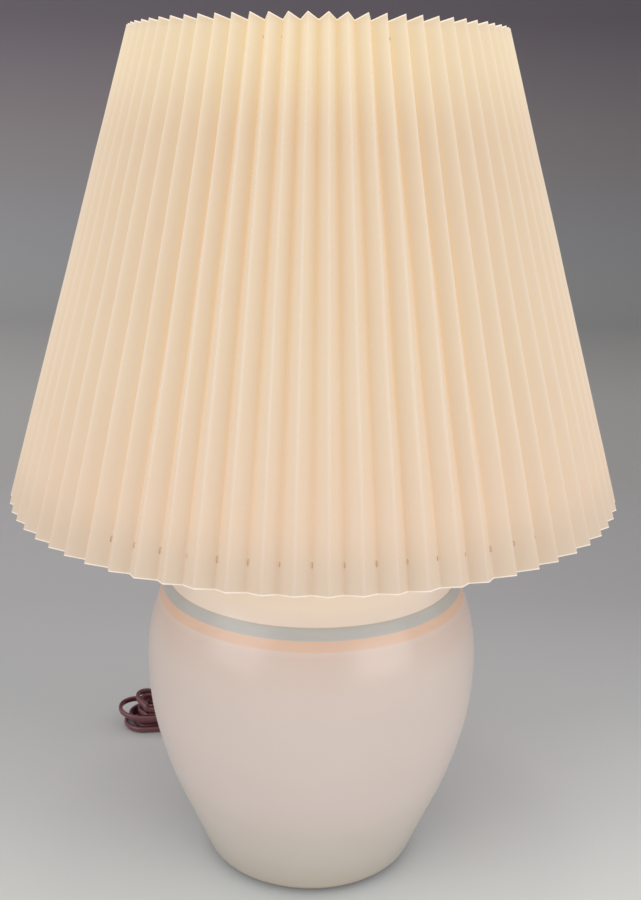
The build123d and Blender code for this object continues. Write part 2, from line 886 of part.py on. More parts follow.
def least_self_gap(path):
    """The least clear space between turns, on points along the path."""
    steps = int(path.length / 2.0)
    points = [tuple(path @ (i / steps)) for i in range(steps + 1)]
    apart = int(4 * cord_diameter / 2.0)
    pairs = ((a, b) for i, a in enumerate(points) for b in points[i + apart:])
    return min(math.dist(a, b) for a, b in pairs) - cord_diameter


def make_inner_cord(mouth):
    """Inside the lamp: down the pipe, across the foot recess and out to the lead."""
    pipe_end = base_stack()[3]
    low = jar_base + cord_radius + 0.8
    path = FilletPolyline(
        (0, 0, body_z - 3.5), (0, 0, low), (0, 30.0, low), (0, 48.0, cord_hole_height),
        (0, mouth - 3.0, cord_hole_height),
        radius=[pipe_end - low, 12.0, 12.0],
    )
    return wire_rod(path, cord_radius)


def make_tie(hank_middle):
    """A flat band round the hank's drawn-in waist."""
    inner_width = 2 * (hank_outer_radius - hank_waist_draw + cord_radius + 0.15)
    inner_height = (hank_layers - 1) * hank_layer_step + cord_diameter + 0.2
    wall = 2 * tie_thickness
    corner = cord_radius + tie_thickness
    outer = RectangleRounded(inner_width + wall, inner_height + wall, corner)
    inner = RectangleRounded(inner_width, inner_height, cord_radius)
    band = extrude(outer - inner, amount=tie_width / 2, both=True)
    centre_z = inner_height / 2 + tie_thickness
    return Pos(hank_middle, hank_centre_y, centre_z) * (Plane.YZ * band)


# ---------------------------------------------------------------- plug
def at_plug(tail, piece):
    """Set a piece made along +X on the tail's end, in the tail's direction."""
    end = tail @ 1
    turn = math.degrees(math.atan2((tail % 1).Y, (tail % 1).X))
    return Pos(end.X, end.Y, end.Z) * Rot(0, 0, turn) * piece


def make_plug_body():
    """Moulded plug: a tapered neck and a rounded grip, flat underneath."""
    neck = Cone(
        cord_radius + 0.8, plug_thickness / 2 - 1.5, plug_neck_length,
        align=(Align.CENTER, Align.CENTER, Align.MIN),
    )
    grip = Box(
        plug_length, plug_width, plug_thickness,
        align=(Align.MIN, Align.CENTER, Align.CENTER),
    )
    grip = fillet(grip.edges().filter_by(Axis.Z), 5.0)
    grip = fillet(grip.faces().sort_by(Axis.X)[0].edges(), 2.0)
    return Rot(0, 90, 0) * neck + Pos(plug_neck_length, 0, 0) * grip


def make_plug_blades():
    blades = []
    for side in (-1, 1):
        blade = Box(
            blade_length, blade_thickness, blade_width,
            align=(Align.MIN, Align.CENTER, Align.CENTER),
        )
        tips = blade.edges().filter_by(Axis.Y).group_by(Axis.X)[-1]
        blade = chamfer(tips, 1.2)
        blade -= Pos(blade_length - 4.0, 0, 0) * Rot(90, 0, 0) * Cylinder(1.6, 4.0)
        start = plug_neck_length + plug_length + 0.02
        blades.append(Pos(start, side * blade_spacing / 2, 0) * blade)
    return Compound(blades)


# ---------------------------------------------------------------- all pieces
def make_cord_pieces():
    mouth = grommet_mouth()
    half_length = hank_half_length(mouth)
    hank = hank_path(half_length)
    lead_route = lead_points(hank, mouth)
    tail_route = tail_points(hank)
    lead = route(lead_route)
    tail = route(tail_route)
    middle = hank_left_end + half_length + hank_outer_radius + cord_radius
    pieces = {
        "inner_cord": make_inner_cord(mouth),
        "cord_lead": wire_rod(lead, cord_radius),
        "cord_hank": wire_rod(hank, cord_radius),
        "cord_tail": wire_rod(tail, cord_radius),
        "hank_tie": make_tie(middle),
        "plug_body": at_plug(tail, make_plug_body()),
        "plug_blades": at_plug(tail, make_plug_blades()),
    }
    print("lead radii", [round(r, 1) for r in turn_radii(lead_route)])
    print("tail radii", [round(r, 1) for r in turn_radii(tail_route)])
    print("hank half length", round(half_length, 2))
    print("hank least gap", round(least_self_gap(hank), 2))
    section = math.pi * cord_radius**2
    for name, path in (("cord_lead", lead), ("cord_hank", hank), ("cord_tail", tail)):
        share = pieces[name].volume / (section * path.length)
        print(name, "length", round(path.length, 1), "volume share", round(share, 4))
    print("cord length", round(lead.length + hank.length + tail.length, 1))
    return pieces


def all_pieces():
    pieces = {
        "felt_pad": make_felt_pad(),
        "jar": make_jar(),
        "cord_grommet": make_grommet(),
        "cushion_washer": make_cushion_washer(),
        "base_washer": make_base_washer(),
        "base_nut": make_base_nut(),
        "lamp_pipe": make_pipe(),
        "mouth_gasket": make_gasket(),
        "vase_cap": make_vase_cap(),
        "check_ring": make_check_ring(),
        "neck_spool": make_neck_spool(),
        "harp_saddle": make_saddle(),
        "harp_ferrule_right": make_ferrule(1),
        "harp_ferrule_left": make_ferrule(-1),
        "harp_wire": make_harp_wire(),
        "harp_crimp": make_harp_crimp(),
        "harp_stud": make_harp_stud(),
        "socket_cap": make_socket_cap(),
        "socket_set_screw": make_set_screw(),
        "socket_shell": make_socket_shell(),
        "socket_insulator": make_insulator(),
        "socket_body": make_socket_body(),
        "socket_screw_shell": make_screw_shell(),
        "socket_centre_contact": make_centre_contact(),
        "terminal_screws": make_terminal_screws(),
        "switch_stem": make_switch_stem(),
        "switch_knob": make_switch_knob(),
        "bulb_glass": make_bulb_glass(),
        "bulb_base": make_bulb_base(),
        "bulb_base_insulator": make_bulb_base_insulator(),
        "bulb_contact": make_bulb_contact(),
        "shade_cloth": make_shade_cloth(),
        "shade_top_ring": make_wire_ring(top_ring_z),
        "shade_bottom_ring": make_wire_ring(bottom_ring_z()),
        "spider_hub": make_spider_hub(),
        "spider_arms": make_spider_arms(),
        "finial_insert": make_finial_insert(),
        "finial_cap": make_finial_cap(),
    }
    pieces.update(make_cord_pieces())
    return pieces


os.makedirs("parts", exist_ok=True)
for name, piece in all_pieces().items():
    export_step(piece, f"parts/{name}.step")
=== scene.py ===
import bmesh
import bpy
import math
import random
from mathutils import Matrix, Vector, noise


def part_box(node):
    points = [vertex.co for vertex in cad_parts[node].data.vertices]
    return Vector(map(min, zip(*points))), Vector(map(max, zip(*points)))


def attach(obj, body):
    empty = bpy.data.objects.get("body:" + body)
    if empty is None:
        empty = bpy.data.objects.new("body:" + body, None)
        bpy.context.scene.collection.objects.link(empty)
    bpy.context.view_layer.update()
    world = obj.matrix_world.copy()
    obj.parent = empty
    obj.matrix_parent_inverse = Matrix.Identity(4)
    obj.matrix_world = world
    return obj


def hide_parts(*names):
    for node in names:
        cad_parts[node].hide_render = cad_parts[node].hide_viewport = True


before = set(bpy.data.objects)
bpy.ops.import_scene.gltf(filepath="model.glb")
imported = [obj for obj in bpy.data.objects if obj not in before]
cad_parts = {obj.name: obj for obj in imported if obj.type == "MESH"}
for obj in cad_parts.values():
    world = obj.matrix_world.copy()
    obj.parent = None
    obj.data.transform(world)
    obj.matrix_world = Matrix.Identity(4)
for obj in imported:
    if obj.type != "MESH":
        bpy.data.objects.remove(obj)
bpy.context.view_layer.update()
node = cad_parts
stage = bpy.context.scene
stage.view_settings.view_transform = "Standard"


# ------------------------------------------------------------------ camera
# The lamp is seen from in front and above, a little over the middle of its shade, with a
# normal lens. It stands slightly left of the picture's centre, and leans a hair to the right.
camera_place = Vector((0.0, -0.8113, 0.5519))
camera_pitch = math.radians(90 - 15.81)
camera_roll = 0.0112
eye = bpy.data.cameras.new("camera")
eye.lens = 45.9
eye.shift_x = 0.0078
eye.clip_start = 0.01
eye.clip_end = 50.0
camera = bpy.data.objects.new("camera", eye)
stage.collection.objects.link(camera)
tilt = Matrix.Rotation(camera_pitch, 4, "X") @ Matrix.Rotation(camera_roll, 4, "Z")
camera.matrix_world = Matrix.Translation(camera_place) @ tilt
stage.camera = camera


# ------------------------------------------------------------------ cord
# Two-core lamp cord with a glossy red-brown cover, moulded as two ribs side by side. It leaves
# a bush low at the jar's back, runs over the table and is folded to and fro into a tied hank
# that lies behind the jar, with its plug beside it.
cord_width = 0.0052
cord_rib = 0.00172
hank_middle = Vector((-0.12555, 0.175))
hank_half = 0.0282
hank_runs = 16
hank_widest = 0.0205
hank_step = 0.006
hank_waist = 0.005
tie_share = 0.12
hank_bottom = 0.0034
hank_layer = 0.0055
turn_degrees = (67.5, 22.5, -22.5, -67.5)
turn_cut = math.cos(math.radians(22.5))
lead_points = [
    (0.0, 0.0828, 0.015), (0.0, 0.1028, 0.015), (-0.001, 0.1228, 0.0052),
    (-0.008, 0.1428, 0.0027), (-0.026, 0.1545, 0.0027), (-0.05, 0.157, 0.0027),
    (-0.074, 0.1545, 0.0034),
]
tail_points = [
    (-0.0751, 0.1925, 0.0199), (-0.0551, 0.1935, 0.0135), (-0.0351, 0.193, 0.007),
    (-0.0171, 0.1885, 0.007),
]
left_reach = (0.003, 0.0, -0.003, 0.002, 0.008, -0.004, -0.003, -0.005)
left_lift = (0.0, 0.0, 0.0, 0.0005, 0.003, 0.002, 0.004, 0.0075)
right_reach = (-0.002, -0.004, -0.003, -0.001, -0.003, -0.004, -0.002)


class Value:
    """A colour or number of a finish, which can be written in sums."""

    def __init__(self, finish, socket):
        self.finish = finish
        self.socket = socket

    def sum(self, operation, first, second):
        return self.finish.node("Math", {0: first, 1: second}, operation=operation)

    def __add__(self, other):
        return self.sum("ADD", self, other)

    def __radd__(self, other):
        return self.sum("ADD", other, self)

    def __sub__(self, other):
        return self.sum("SUBTRACT", self, other)

    def __rsub__(self, other):
        return self.sum("SUBTRACT", other, self)

    def __mul__(self, other):
        return self.sum("MULTIPLY", self, other)

    def __rmul__(self, other):
        return self.sum("MULTIPLY", other, self)

    def __truediv__(self, other):
        return self.sum("DIVIDE", self, other)


class Finish:
    """A material being mixed: its shader, and the nodes that lead to it."""

    def __init__(self, name, **plain):
        self.material = bpy.data.materials.new(name)
        self.material.use_nodes = True
        self.tree = self.material.node_tree
        self.shader = self.tree.nodes["Principled BSDF"]
        for socket, value in plain.items():
            self.shader.inputs[socket.replace("_", " ")].default_value = value

    def node(self, kind, inputs=(), out=0, stops=(), **settings):
        made = self.tree.nodes.new("ShaderNode" + kind)
        for key, value in settings.items():
            setattr(made, key, value)
        for index, (place, colour) in enumerate(stops):
            ramp = made.color_ramp.elements
            stop = ramp[index] if index < len(ramp) else ramp.new(place)
            stop.position = place
            stop.color = (*colour, 1.0)
        for key, value in dict(inputs).items():
            if isinstance(value, Value):
                self.tree.links.new(value.socket, made.inputs[key])
            else:
                made.inputs[key].default_value = value
        return Value(self, made.outputs[out])

    def place(self, stretch=(1, 1, 1)):
        """Object coordinates, stretched for a pattern that isn't even all ways."""
        spot = self.node("TexCoord", out="Object")
        return self.node("Mapping", {"Vector": spot, "Scale": stretch})

    def noise(self, scale, detail=2.0, stretch=(1, 1, 1), rough=0.5):
        where = self.place(stretch)
        values = {"Vector": where, "Scale": scale, "Detail": detail, "Roughness": rough}
        return self.node("TexNoise", values)

    def axis(self, letter):
        spot = self.node("TexCoord", out="Object")
        return self.node("SeparateXYZ", {0: spot}, out=letter)

    def mix(self, first, second, share):
        inputs = {0: share, 6: first, 7: second}
        return self.node("Mix", inputs, out=2, data_type="RGBA")

    def step(self, value, low, high):
        """0 below low, 1 above high and smooth between them."""
        inputs = {0: value, 1: low, 2: high, 3: 0.0, 4: 1.0}
        return self.node("MapRange", inputs, interpolation_type="SMOOTHSTEP")

    def bump(self, height, depth):
        inputs = {"Height": height, "Distance": depth, "Strength": 1.0}
        self.send("Normal", self.node("Bump", inputs))

    def send(self, socket, value):
        self.tree.links.new(value.socket, self.shader.inputs[socket])


def wear(piece, finish):
    """Give a piece its finish."""
    piece.data.materials.clear()
    piece.data.materials.append(finish.material)


def hank_offset(run):
    """How far a run lies from the hank's middle line: five lanes, out and in by turns."""
    return hank_widest - hank_step * (2 - abs(run % 8 - 4) / 2)


def hank_level(run, late):
    """The height of a run. The first of each layer climbs on its way."""
    climbing = run > 0 and run % 4 == 0
    return hank_bottom + hank_layer * (run // 4 - (1 if climbing and not late else 0))


def hank_points():
    """Runs to and fro, drawn in at the tie, with a loose round turn after each."""
    points = []
    for run in range(hank_runs):
        heading = -1 if run % 2 == 0 else 1
        wide = hank_offset(run)
        side = hank_middle.y + heading * wide
        waist = side - heading * hank_waist
        for share, y in ((-1, side), (-tie_share, waist), (tie_share, waist), (1, side)):
            level = hank_level(run, share > 0)
            points.append((hank_middle.x + heading * share * hank_half, y, level))
        if run == hank_runs - 1:
            break
        reach = left_reach[run // 2] if heading < 0 else right_reach[run // 2]
        lift = left_lift[run // 2] if heading < 0 else 0.0
        after = hank_middle.y - heading * hank_offset(run + 1)
        centre = (side + after) / 2
        radius = abs(side - after) / 2 / turn_cut
        for degrees in turn_degrees:
            turn = math.radians(degrees)
            out = hank_half + reach + radius * math.cos(turn)
            x = hank_middle.x + heading * out
            y = centre + heading * radius * math.sin(turn)
            rise = lift * (1.0 if abs(degrees) < 45 else 0.6)
            points.append((x, y, hank_level(run, True) + rise))
    return points


def smooth_line(name, points):
    """A smooth free-lying line through the neighbourhood of its points."""
    curve = bpy.data.curves.new(name, "CURVE")
    curve.dimensions = "3D"
    line = curve.splines.new("NURBS")
    line.points.add(len(points) - 1)
    for spot, place in zip(line.points, points):
        spot.co = (*place, 1.0)
    line.order_u = 3
    line.use_endpoint_u = True
    line.resolution_u = 5
    made = bpy.data.objects.new(name, curve)
    stage.collection.objects.link(made)
    return made


def rib_section():
    """The cover's outline: two round ribs that run into each other."""
    curve = bpy.data.curves.new("cord_section", "CURVE")
    line = curve.splines.new("POLY")
    apart = cord_width / 2 - cord_rib
    outline = []
    for rib in (1, -1):
        for degrees in (-30, 0, 30, 60, 90, 120, 150, 180, 210):
            turn = math.radians(degrees if rib > 0 else degrees + 180)
            x = cord_rib * math.cos(turn)
            y = rib * apart + cord_rib * math.sin(turn)
            outline.append((x, y, 0.0, 1.0))
    line.points.add(len(outline) - 1)
    for spot, place in zip(line.points, outline):
        spot.co = place
    line.use_cyclic_u = True
    made = bpy.data.objects.new("cord_section", curve)
    stage.collection.objects.link(made)
    made.hide_render = True
    return made


def finish_mesh(bm, name, body, smooth=35):
    """Merge, face outwards, and put the piece on its body."""
    bmesh.ops.remove_doubles(bm, verts=bm.verts, dist=0.000002)
    bmesh.ops.recalc_face_normals(bm, faces=bm.faces)
    mesh = bpy.data.meshes.new(name)
    bm.to_mesh(mesh)
    bm.free()
    mesh.shade_smooth()
    mesh.set_sharp_from_angle(angle=math.radians(smooth))
    made = bpy.data.objects.new(name, mesh)
    stage.collection.objects.link(made)
    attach(made, body)
    return made


cover = Finish("cord_cover", Roughness=0.36, Coat_Weight=0.5, Coat_Roughness=0.15)
cover_shade = cover.noise(60.0, 3.0)
cover_light = (0.165, 0.044, 0.056, 1)
cover_dark = (0.095, 0.025, 0.035, 1)
cover.send("Base Color", cover.mix(cover_light, cover_dark, cover_shade))
cover.send("Roughness", cover.noise(300.0) * 0.2 + 0.28)
cover.bump(cover.noise(420.0, 2.0), 0.0001)

cord = smooth_line("cord", lead_points + hank_points() + tail_points)
cord.data.twist_mode = "Z_UP"
cord.data.bevel_mode = "OBJECT"
cord.data.bevel_object = rib_section()
cord.data.use_fill_caps = True
wear(cord, cover)
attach(cord, "lamp_base")
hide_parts("cord_lead", "cord_hank", "cord_tail")

band = Finish("tie_band", Roughness=0.6)
stretched = band.noise(300.0, 3.0, (1, 1, 6))
band.send("Base Color", band.mix((0.02, 0.016, 0.014, 1), (0.036, 0.028, 0.024, 1), stretched))
band.bump(stretched, 0.0001)
wear(node["hank_tie"], band)

plug_light = (0.13, 0.04, 0.042, 1)
plug_dark = (0.09, 0.026, 0.03, 1)
plug_cover = Finish("plug_cover", Roughness=0.42)
plug_cover.send("Base Color", plug_cover.mix(plug_light, plug_dark, plug_cover.noise(90.0, 4.0)))
plug_cover.bump(plug_cover.noise(900.0, 2.0), 0.00008)
wear(node["plug_body"], plug_cover)

plug_heading = math.atan2(-0.0045, 0.018)
rib_size = (0.0018, 0.0248, 0.0142)
rib_lift = 0.0002
rib_round = 0.0004
bm = bmesh.new()
for along in (0.030, 0.034, 0.038, 0.042):
    rib = bmesh.ops.create_cube(bm, size=1.0)["verts"]
    bmesh.ops.scale(bm, verts=rib, vec=rib_size)
    bmesh.ops.translate(bm, verts=rib, vec=(along, 0, rib_lift))
bmesh.ops.bevel(
    bm, geom=bm.edges[:], offset=rib_round, segments=3, profile=0.5, affect="EDGES", material=-1,
)
plug_spot = Matrix.Translation(tail_points[-1]) @ Matrix.Rotation(plug_heading, 4, "Z")
bmesh.ops.transform(bm, matrix=plug_spot, verts=bm.verts)
plug_ribs = finish_mesh(bm, "plug_ribs", "lamp_base", 50)
wear(plug_ribs, plug_cover)


# ------------------------------------------------------------------ wiring in the lamp
# The same cord goes on inside: across the foot's hollow, up the pipe and into the socket, where
# its two cores part, turn out to the side screws and are clamped bare under their heads.
wiring_radius = 0.00235
core_radius = 0.0011
inside_points = [
    (0.0, 0.083, 0.015), (0.0, 0.066, 0.015), (0.0, 0.048, 0.0115), (0.0, 0.030, 0.0049),
    (0.0, 0.008, 0.0049), (0.0, 0.0, 0.0075), (0.0, 0.0, 0.024), (0.0, 0.0, 0.12),
    (0.0, 0.0, 0.24), (0.0, 0.0, 0.335), (0.0, 0.0, 0.3505),
]
core_points = [
    (0.0016, 0.0, 0.3485), (0.002, 0.0, 0.3525), (0.008, 0.0005, 0.3532), (0.0125, 0.0008, 0.3536),
]

wiring = smooth_line("lamp_wiring", inside_points)
wiring.data.twist_mode = "MINIMUM"
wiring.data.bevel_mode = "ROUND"
wiring.data.bevel_depth = wiring_radius
wiring.data.bevel_resolution = 3
wiring.data.use_fill_caps = True
wear(wiring, cover)
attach(wiring, "lamp_base")
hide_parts("inner_cord")

core_light = (0.12, 0.1, 0.09, 1)
core_dark = (0.09, 0.075, 0.07, 1)
core_cover = Finish("core_cover", Roughness=0.5)
core_cover.send("Base Color", core_cover.mix(core_light, core_dark, core_cover.noise(500.0)))
for side, hand in (("right", 1), ("left", -1)):
    core = smooth_line("core_" + side, [(hand * x, y, z) for x, y, z in core_points])
    core.data.bevel_mode = "ROUND"
    core.data.bevel_depth = core_radius
    core.data.bevel_resolution = 2
    core.data.use_fill_caps = True
    wear(core, core_cover)
    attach(core, "lamp_base")


# ------------------------------------------------------------------ foot pad
# A round of dark pressed felt, cut from sheet and glued under the jar's foot so that it
# doesn't scratch a table.
felt = Finish("pressed_felt", Roughness=0.98)
fibres = felt.noise(1300.0, 5.0, (1, 1, 3))
felt.send("Base Color", felt.mix((0.10, 0.075, 0.055, 1), (0.19, 0.15, 0.12, 1), fibres))
felt.bump(fibres + felt.noise(240.0, 3.0) * 0.6, 0.0004)
wear(node["felt_pad"], felt)


# ------------------------------------------------------------------ jar
# A slip-cast ceramic ginger jar with a rolled neck and a hollow foot, glazed glossy off-white.
# A grey-green band and a peach band half as wide are painted side by side round its shoulder
# before the last firing. The lowest edge of the foot is coloured dark brown.
band_top = 0.2291
band_border = 0.2212
band_foot = 0.2144
band_blur = 0.0004
dark_foot_top = 0.0072
glaze_span = 0.3
# The glaze's off-white changes with height: painted shade darkens it towards the foot, and a painted
# glow of the bulb's light makes it light cream above the bands.
painted_light_tones = (
    (0.0, (0.434, 0.376, 0.296)), (0.12, (0.545, 0.48, 0.418)), (0.32, (0.64, 0.535, 0.49)),
    (0.62, (0.645, 0.535, 0.48)), (0.70, (0.62, 0.50, 0.445)), (0.80, (0.79, 0.73, 0.66)),
)
glaze = Finish("jar_glaze", Roughness=0.3, Coat_Weight=0.2, Coat_Roughness=0.2)
level = glaze.axis("Z") + (glaze.noise(7.0, 2.0) - 0.5) * 0.0012
mottle = glaze.noise(24.0, 4.0)
brushed = glaze.noise(60.0, 3.0, (1, 1, 6))
painted_light_ramp = glaze.node("ValToRGB", {0: level / glaze_span}, stops=painted_light_tones)
white = glaze.mix(painted_light_ramp, (0.80, 0.76, 0.70, 1), mottle * 0.12)
green = glaze.mix((0.405, 0.425, 0.425, 1), (0.47, 0.48, 0.47, 1), brushed)
brown = glaze.step(level, band_top - 0.0012, band_top - 0.0003) * 0.5
green = glaze.mix(green, (0.40, 0.36, 0.30, 1), brown)
peach = glaze.mix((0.70, 0.495, 0.38, 1), (0.655, 0.465, 0.36, 1), brushed)
painted = white
for edge, colour in ((band_foot, peach), (band_border, green), (band_top, white)):
    above = glaze.step(level, edge - band_blur, edge + band_blur)
    painted = glaze.mix(painted, colour, above)
# The lowest few millimetres of the foot are coloured dark brown.
dark_foot_edge = glaze.step(level, dark_foot_top + 0.001, dark_foot_top - 0.001)
painted = glaze.mix(painted, (0.235, 0.17, 0.135, 1), dark_foot_edge)
glaze.send("Base Color", painted)
glaze.send("Roughness", mottle * 0.08 + 0.26)
glaze.bump(glaze.noise(55.0, 2.0) * 0.6 + glaze.noise(260.0, 2.0) * 0.08, 0.00025)
wear(node["jar"], glaze)


# ------------------------------------------------------------------ cord bush
# A soft black rubber bush pushed into the hole low in the jar's back, round the cord.
rubber = Finish("soft_rubber", Roughness=0.7)
powdery = rubber.noise(200.0, 4.0)
rubber.send("Base Color", rubber.mix((0.022, 0.021, 0.02, 1), (0.05, 0.048, 0.046, 1), powdery))
rubber.send("Roughness", powdery * 0.25 + 0.55)
rubber.bump(rubber.noise(900.0, 2.0), 0.00005)
for name in ("cord_grommet", "cushion_washer"):
    wear(node[name], rubber)


# ------------------------------------------------------------------ pipe and foot clamp
# A zinc-plated steel pipe runs through the jar, threaded all the way. A hexagon nut and a steel
# washer, with a rubber one over them, pull everything above down on the jar.
def metal(name, light, dark, rough, stretch=(1, 1, 50)):
    """Plain metal with fine marks, by their stretch, and cloudy wear."""
    made = Finish(name, Metallic=1.0)
    marks = made.noise(26.0, 4.0, stretch)
    cloud = made.noise(70.0, 3.0)
    made.send("Base Color", made.mix(light, dark, marks * 0.6 + cloud * 0.4))
    made.send("Roughness", marks * 0.14 + cloud * 0.1 + (rough - 0.12))
    made.bump(marks, 0.00004)
    return made


def thread_band(bm, pitch, low, high, crest, root, steps=36):
    """A right-hand thread between two heights: one pitch of outline, wound up round the axis."""
    turns = math.ceil((high - low) / pitch) + 2
    outline = []
    for part in range(9):
        wave = 0.5 - 0.5 * math.cos(math.tau * part / 8)
        reach = root + (crest - root) * wave
        outline.append(bm.verts.new((reach, 0.0, low + (part / 8 - 1.5) * pitch)))
    line = [bm.edges.new(pair) for pair in zip(outline, outline[1:])]
    bmesh.ops.spin(
        bm, geom=outline + line, cent=(0, 0, 0), axis=(0, 0, 1), dvec=(0, 0, pitch / steps),
        angle=math.tau * turns, steps=steps * turns, use_merge=False, use_duplicate=False,
    )
    bmesh.ops.remove_doubles(bm, verts=bm.verts, dist=0.00001)
    for height, top in ((low, False), (high, True)):
        bmesh.ops.bisect_plane(
            bm, geom=bm.verts[:] + bm.edges[:] + bm.faces[:], dist=0.000001,
            plane_co=(0, 0, height), plane_no=(0, 0, 1), clear_outer=top, clear_inner=not top,
        )


def turned(bm, outline, steps=48):
    """A lathe-turned wall from (radius, height) points."""
    verts = [bm.verts.new((radius, 0.0, height)) for radius, height in outline]
    line = [bm.edges.new(pair) for pair in zip(verts, verts[1:])]
    bmesh.ops.spin(
        bm, geom=verts + line, cent=(0, 0, 0), axis=(0, 0, 1), dvec=(0, 0, 0),
        angle=math.tau, steps=steps, use_merge=True, use_duplicate=False,
    )


zinc = metal("zinc_plate", (0.62, 0.63, 0.63, 1), (0.46, 0.47, 0.48, 1), 0.36, (1, 1, 1))
for name in ("base_washer", "base_nut", "lamp_pipe", "socket_set_screw", "switch_stem"):
    wear(node[name], zinc)


# ------------------------------------------------------------------ cap and neck
# Turned and spun brass with a satin lacquer: a domed cap on a fibre ring closes the jar's mouth,
# then a check ring and a waisted spool stand on it, all threaded over the pipe.
brass = metal("satin_brass", (0.76, 0.55, 0.26, 1), (0.62, 0.42, 0.17, 1), 0.3)
for name in ("vase_cap", "check_ring", "neck_spool", "finial_insert"):
    wear(node[name], brass)
fibre = Finish("fibre_board", Roughness=0.9)
flecks = fibre.noise(500.0, 5.0, (1, 1, 4))
fibre.send("Base Color", fibre.mix((0.33, 0.22, 0.13, 1), (0.20, 0.13, 0.08, 1), flecks))
fibre.bump(flecks, 0.00012)
wear(node["mouth_gasket"], fibre)
wear(node["socket_insulator"], fibre)


# ------------------------------------------------------------------ saddle and socket
# The harp's saddle is a strip of brass-plated steel bent up at both ends, clamped under the
# socket's cap. The socket is a drawn brass cap and shell with a fibre sleeve inside, round a
# moulded black body that carries the rolled screw shell.
bead_radius = 0.01728
bead_sunk = 0.0003
bead_levels = (0.3548, 0.3566, 0.3584)
screw_pitch = 0.00363
screw_wall = 0.0003
shell_low = 0.3693
shell_high = 0.3913
shell_radius = 0.0135
plated = metal("plated_wire", (0.80, 0.64, 0.38, 1), (0.68, 0.52, 0.28, 1), 0.26, (1, 1, 1))
drawn = metal("drawn_brass", (0.80, 0.62, 0.32, 1), (0.68, 0.50, 0.23, 1), 0.27)
contact = metal("contact_brass", (0.78, 0.66, 0.40, 1), (0.64, 0.52, 0.30, 1), 0.34, (1, 1, 1))
wear(node["harp_saddle"], plated)
for name in ("socket_cap", "socket_shell"):
    wear(node[name], drawn)
for name in ("socket_centre_contact", "terminal_screws", "plug_blades"):
    wear(node[name], contact)

bm = bmesh.new()
for middle in bead_levels:
    ring = [
        (bead_radius - bead_sunk, middle - 0.0006), (bead_radius, middle - 0.0002),
        (bead_radius, middle + 0.0002), (bead_radius - bead_sunk, middle + 0.0006),
    ]
    turned(bm, ring + ring[:1], 64)
beads = finish_mesh(bm, "socket_beads", "lamp_base")
wear(beads, drawn)

bm = bmesh.new()
lip = [
    (shell_radius, shell_high - 0.001), (shell_radius + 0.0002, shell_high - 0.0004),
    (shell_radius + 0.0004, shell_high),
]
cup = [(0.008, shell_low), (shell_radius - 0.0008, shell_low), (shell_radius, shell_low + 0.001)]
thread_band(
    bm, screw_pitch, shell_low + 0.001, shell_high - 0.001,
    shell_radius + 0.0003, shell_radius - 0.0003,
)
turned(bm, lip)
turned(bm, cup)
screw_shell = finish_mesh(bm, "rolled_screw_shell", "lamp_base")
sheet = screw_shell.modifiers.new("sheet", "SOLIDIFY")
sheet.thickness = screw_wall
sheet.offset = 0.0
wear(screw_shell, contact)
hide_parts("socket_screw_shell")

black = Finish("black_moulding", Roughness=0.3, Coat_Weight=0.3, Coat_Roughness=0.15)
swirl = black.noise(60.0, 5.0, (1, 1, 0.5))
black.send("Base Color", black.mix((0.014, 0.012, 0.011, 1), (0.04, 0.032, 0.028, 1), swirl))
black.send("Roughness", swirl * 0.2 + 0.2)
wear(node["socket_body"], black)


# ------------------------------------------------------------------ switch
# A fluted black knob on a plated steel stem comes out of the socket's front and turns the lamp
# on and off.
wear(node["switch_knob"], black)


# ------------------------------------------------------------------ bulb
# A frosted glass bulb, cemented in a rolled aluminium screw base with a black glass foot and a
# soldered tip. It is lit, and is the lamp's own light.
base_low = 0.3753
base_high = 0.3993
base_radius = 0.01305
frosted = Finish("frosted_bulb", Roughness=0.5, Emission_Strength=15.0)
clouded = frosted.noise(30.0, 2.0)
frosted.send("Base Color", frosted.mix((0.9, 0.88, 0.84, 1), (0.86, 0.83, 0.78, 1), clouded))
glow_up = frosted.step(frosted.axis("Z"), 0.399, 0.43)
frosted.send("Emission Color", frosted.mix((0.62, 0.45, 0.26, 1), (1.0, 0.78, 0.50, 1), glow_up))
wear(node["bulb_glass"], frosted)
wear(node["bulb_base_insulator"], black)
tin = metal("rolled_aluminium", (0.78, 0.78, 0.77, 1), (0.64, 0.64, 0.64, 1), 0.3)
solder = metal("soft_solder", (0.60, 0.60, 0.60, 1), (0.42, 0.42, 0.42, 1), 0.38, (1, 1, 1))
wear(node["bulb_contact"], solder)

bm = bmesh.new()
thread_band(bm, screw_pitch, base_low + 0.0035, base_high - 0.004, base_radius, base_radius - 0.0008)
collar = [
    (base_radius - 0.0008, base_high - 0.004), (base_radius - 0.0002, base_high - 0.0034),
    (base_radius - 0.0001, base_high - 0.0008), (base_radius, base_high),
]
foot = [
    (base_radius - 0.0044, base_low), (base_radius - 0.0038, base_low + 0.0004),
    (base_radius - 0.0009, base_low + 0.003), (base_radius - 0.0004, base_low + 0.0035),
]
turned(bm, collar)
turned(bm, foot)
screw_base = finish_mesh(bm, "rolled_screw_base", "bulb")
sheet = screw_base.modifiers.new("sheet", "SOLIDIFY")
sheet.thickness = screw_wall
sheet.offset = -1.0
wear(screw_base, tin)
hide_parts("bulb_base")


# ------------------------------------------------------------------ harp
# A hoop of brass-plated steel wire stands in the saddle's two bent-up tabs, held by sleeves that
# slide down over them. A crimped plate on its top carries a swivelling, threaded brass stud.
stud_pitch = 0.00094
stud_radius = 0.0031
disc_low = 0.5916
disc_high = 0.5931
stud_top = 0.6046
for name in ("harp_ferrule_right", "harp_ferrule_left", "harp_wire", "harp_crimp"):
    wear(node[name], plated)

